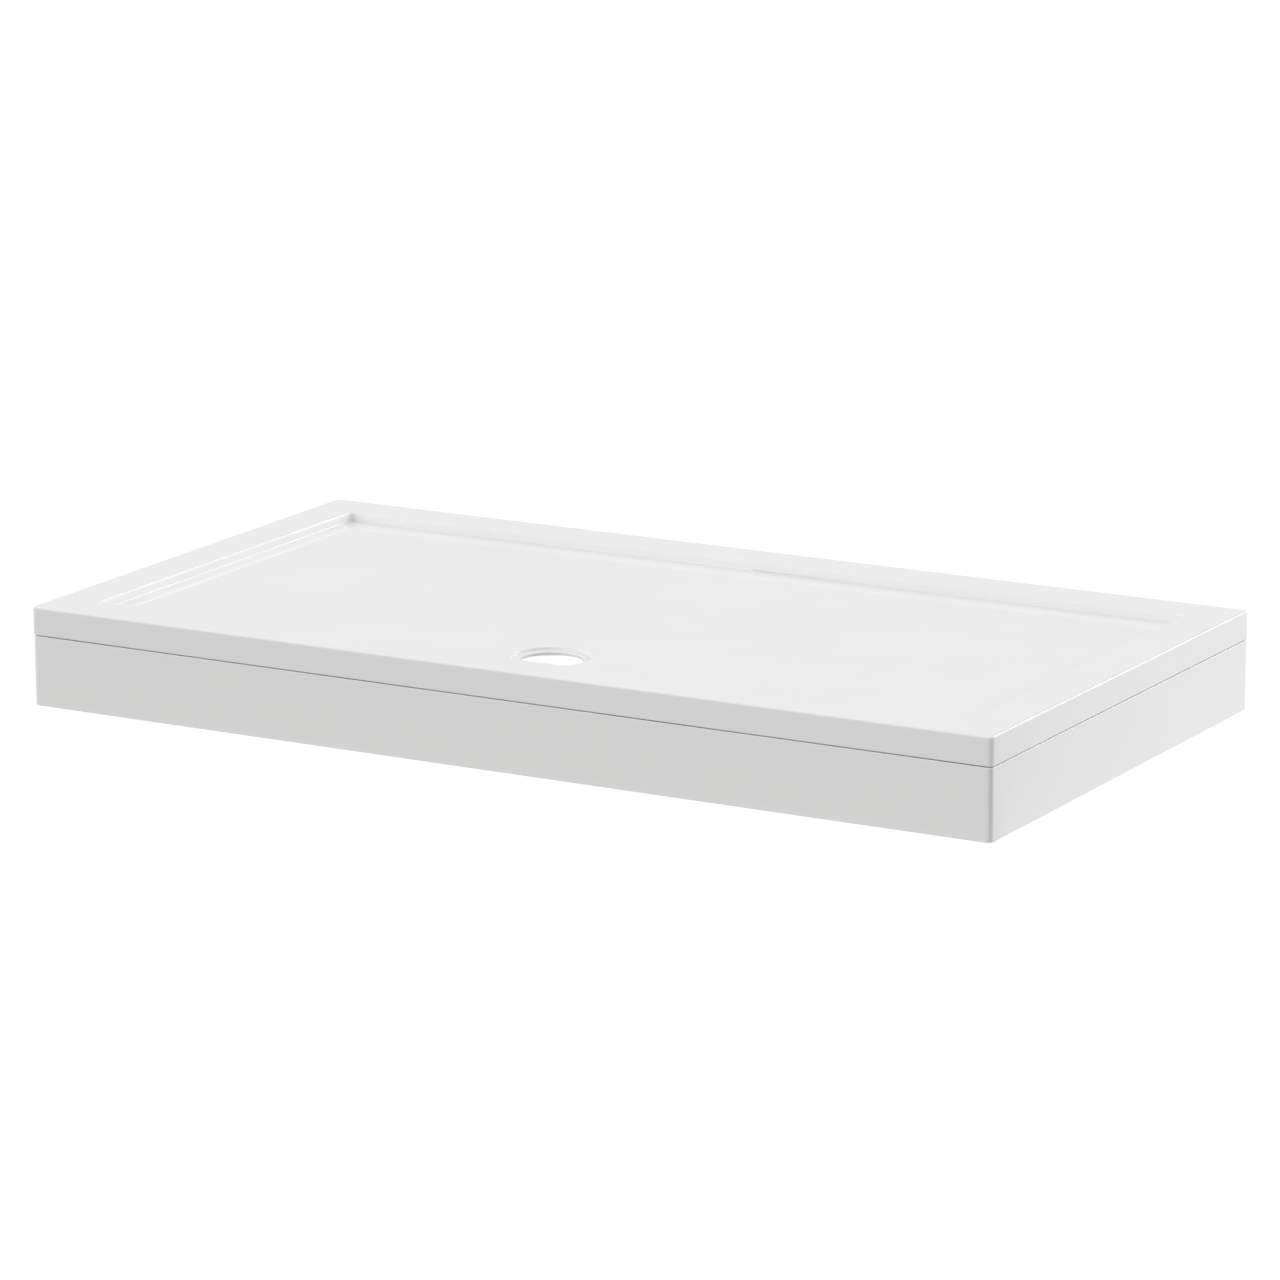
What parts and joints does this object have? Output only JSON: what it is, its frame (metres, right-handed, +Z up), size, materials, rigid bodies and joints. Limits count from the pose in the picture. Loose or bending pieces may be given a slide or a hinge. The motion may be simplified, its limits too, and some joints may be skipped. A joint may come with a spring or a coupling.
{
  "type": "shower tray",
  "caption": "White rectangular shower tray with a flat rim, shallow basin and off-centre round waste hole, raised on screw legs behind clip-on plinth panels.",
  "frame": {"origin": "on the floor under the middle of the tray", "axes": "+X along the long side to the right, +Z up; the front side with the waste hole faces -Y, and the plinth closes the front and the right end"},
  "size_m": [1.5, 0.8, 0.1415],
  "materials": {
    "cap_acrylic": "gloss",
    "cast_resin": "matte",
    "panel_white": "gloss",
    "leg_plastic": "satin",
    "clip_plastic": "satin",
    "zinc_steel": "satin"
  },
  "bodies": {
    "root": {"tray_surface": "cap_acrylic", "tray_core": "cast_resin", "leg_screws": "zinc_steel", "leg_socket_01": "leg_plastic", "leg_socket_02": "leg_plastic", "leg_socket_03": "leg_plastic", "leg_socket_04": "leg_plastic", "leg_socket_05": "leg_plastic", "leg_socket_06": "leg_plastic", "leg_socket_07": "leg_plastic", "leg_socket_08": "leg_plastic", "leg_socket_09": "leg_plastic", "leg_socket_10": "leg_plastic", "lock_nut_01": "zinc_steel", "lock_nut_02": "zinc_steel", "lock_nut_03": "zinc_steel", "lock_nut_04": "zinc_steel", "lock_nut_05": "zinc_steel", "lock_nut_06": "zinc_steel", "lock_nut_07": "zinc_steel", "lock_nut_08": "zinc_steel", "lock_nut_09": "zinc_steel", "lock_nut_10": "zinc_steel"},
    "front_plinth": {"front_panel": "panel_white", "front_panel_screws": "zinc_steel", "corner_bracket": "zinc_steel", "front_clip_1": "clip_plastic", "front_clip_2": "clip_plastic", "front_clip_3": "clip_plastic", "front_clip_4": "clip_plastic"},
    "right_plinth": {"right_panel": "panel_white", "right_panel_screws": "zinc_steel", "right_clip_1": "clip_plastic", "right_clip_2": "clip_plastic"},
    "foot_01": {"foot_01": "leg_plastic"},
    "stud_01": {"leg_stud_01": "zinc_steel"},
    "foot_02": {"foot_02": "leg_plastic"},
    "stud_02": {"leg_stud_02": "zinc_steel"},
    "foot_03": {"foot_03": "leg_plastic"},
    "stud_03": {"leg_stud_03": "zinc_steel"},
    "foot_04": {"foot_04": "leg_plastic"},
    "stud_04": {"leg_stud_04": "zinc_steel"},
    "foot_05": {"foot_05": "leg_plastic"},
    "stud_05": {"leg_stud_05": "zinc_steel"},
    "foot_06": {"foot_06": "leg_plastic"},
    "stud_06": {"leg_stud_06": "zinc_steel"},
    "foot_07": {"foot_07": "leg_plastic"},
    "stud_07": {"leg_stud_07": "zinc_steel"},
    "foot_08": {"foot_08": "leg_plastic"},
    "stud_08": {"leg_stud_08": "zinc_steel"},
    "foot_09": {"foot_09": "leg_plastic"},
    "stud_09": {"leg_stud_09": "zinc_steel"},
    "foot_10": {"foot_10": "leg_plastic"},
    "stud_10": {"leg_stud_10": "zinc_steel"}
  },
  "joints": [
    {"name": "front_panel_pull", "type": "slide", "parent": "root", "child": "front_plinth", "axis": [0, -1, 0], "range_m": [0, 0.1]},
    {"name": "right_panel_pull", "type": "slide", "parent": "root", "child": "right_plinth", "axis": [1, 0, 0], "range_m": [0, 0.1]},
    {"name": "foot_lift_01", "type": "slide", "parent": "root", "child": "foot_01", "axis": [0, 0, 1], "range_m": [-0.015, 0.008]},
    {"name": "stud_turn_01", "type": "hinge", "parent": "foot_01", "child": "stud_01", "pos_m": [-0.675, -0.325, 0.05], "axis": [0, 0, 1], "range_deg": [-3086, 1646]},
    {"name": "foot_lift_02", "type": "slide", "parent": "root", "child": "foot_02", "axis": [0, 0, 1], "range_m": [-0.015, 0.008]},
    {"name": "stud_turn_02", "type": "hinge", "parent": "foot_02", "child": "stud_02", "pos_m": [-0.235, -0.325, 0.05], "axis": [0, 0, 1], "range_deg": [-3086, 1646]},
    {"name": "foot_lift_03", "type": "slide", "parent": "root", "child": "foot_03", "axis": [0, 0, 1], "range_m": [-0.015, 0.008]},
    {"name": "stud_turn_03", "type": "hinge", "parent": "foot_03", "child": "stud_03", "pos_m": [0.235, -0.325, 0.05], "axis": [0, 0, 1], "range_deg": [-3086, 1646]},
    {"name": "foot_lift_04", "type": "slide", "parent": "root", "child": "foot_04", "axis": [0, 0, 1], "range_m": [-0.015, 0.008]},
    {"name": "stud_turn_04", "type": "hinge", "parent": "foot_04", "child": "stud_04", "pos_m": [0.675, -0.325, 0.05], "axis": [0, 0, 1], "range_deg": [-3086, 1646]},
    {"name": "foot_lift_05", "type": "slide", "parent": "root", "child": "foot_05", "axis": [0, 0, 1], "range_m": [-0.015, 0.008]},
    {"name": "stud_turn_05", "type": "hinge", "parent": "foot_05", "child": "stud_05", "pos_m": [-0.445, 0, 0.05], "axis": [0, 0, 1], "range_deg": [-3086, 1646]},
    {"name": "foot_lift_06", "type": "slide", "parent": "root", "child": "foot_06", "axis": [0, 0, 1], "range_m": [-0.015, 0.008]},
    {"name": "stud_turn_06", "type": "hinge", "parent": "foot_06", "child": "stud_06", "pos_m": [0.445, 0, 0.05], "axis": [0, 0, 1], "range_deg": [-3086, 1646]},
    {"name": "foot_lift_07", "type": "slide", "parent": "root", "child": "foot_07", "axis": [0, 0, 1], "range_m": [-0.015, 0.008]},
    {"name": "stud_turn_07", "type": "hinge", "parent": "foot_07", "child": "stud_07", "pos_m": [-0.675, 0.325, 0.05], "axis": [0, 0, 1], "range_deg": [-3086, 1646]},
    {"name": "foot_lift_08", "type": "slide", "parent": "root", "child": "foot_08", "axis": [0, 0, 1], "range_m": [-0.015, 0.008]},
    {"name": "stud_turn_08", "type": "hinge", "parent": "foot_08", "child": "stud_08", "pos_m": [-0.235, 0.325, 0.05], "axis": [0, 0, 1], "range_deg": [-3086, 1646]},
    {"name": "foot_lift_09", "type": "slide", "parent": "root", "child": "foot_09", "axis": [0, 0, 1], "range_m": [-0.015, 0.008]},
    {"name": "stud_turn_09", "type": "hinge", "parent": "foot_09", "child": "stud_09", "pos_m": [0.235, 0.325, 0.05], "axis": [0, 0, 1], "range_deg": [-3086, 1646]},
    {"name": "foot_lift_10", "type": "slide", "parent": "root", "child": "foot_10", "axis": [0, 0, 1], "range_m": [-0.015, 0.008]},
    {"name": "stud_turn_10", "type": "hinge", "parent": "foot_10", "child": "stud_10", "pos_m": [0.675, 0.325, 0.05], "axis": [0, 0, 1], "range_deg": [-3086, 1646]}
  ],
  "couplings": [
    {"joint": "stud_turn_01", "follows": "foot_lift_01", "rad_per_m": 3590.4},
    {"joint": "stud_turn_02", "follows": "foot_lift_02", "rad_per_m": 3590.4},
    {"joint": "stud_turn_03", "follows": "foot_lift_03", "rad_per_m": 3590.4},
    {"joint": "stud_turn_04", "follows": "foot_lift_04", "rad_per_m": 3590.4},
    {"joint": "stud_turn_05", "follows": "foot_lift_05", "rad_per_m": 3590.4},
    {"joint": "stud_turn_06", "follows": "foot_lift_06", "rad_per_m": 3590.4},
    {"joint": "stud_turn_07", "follows": "foot_lift_07", "rad_per_m": 3590.4},
    {"joint": "stud_turn_08", "follows": "foot_lift_08", "rad_per_m": 3590.4},
    {"joint": "stud_turn_09", "follows": "foot_lift_09", "rad_per_m": 3590.4},
    {"joint": "stud_turn_10", "follows": "foot_lift_10", "rad_per_m": 3590.4}
  ]
}
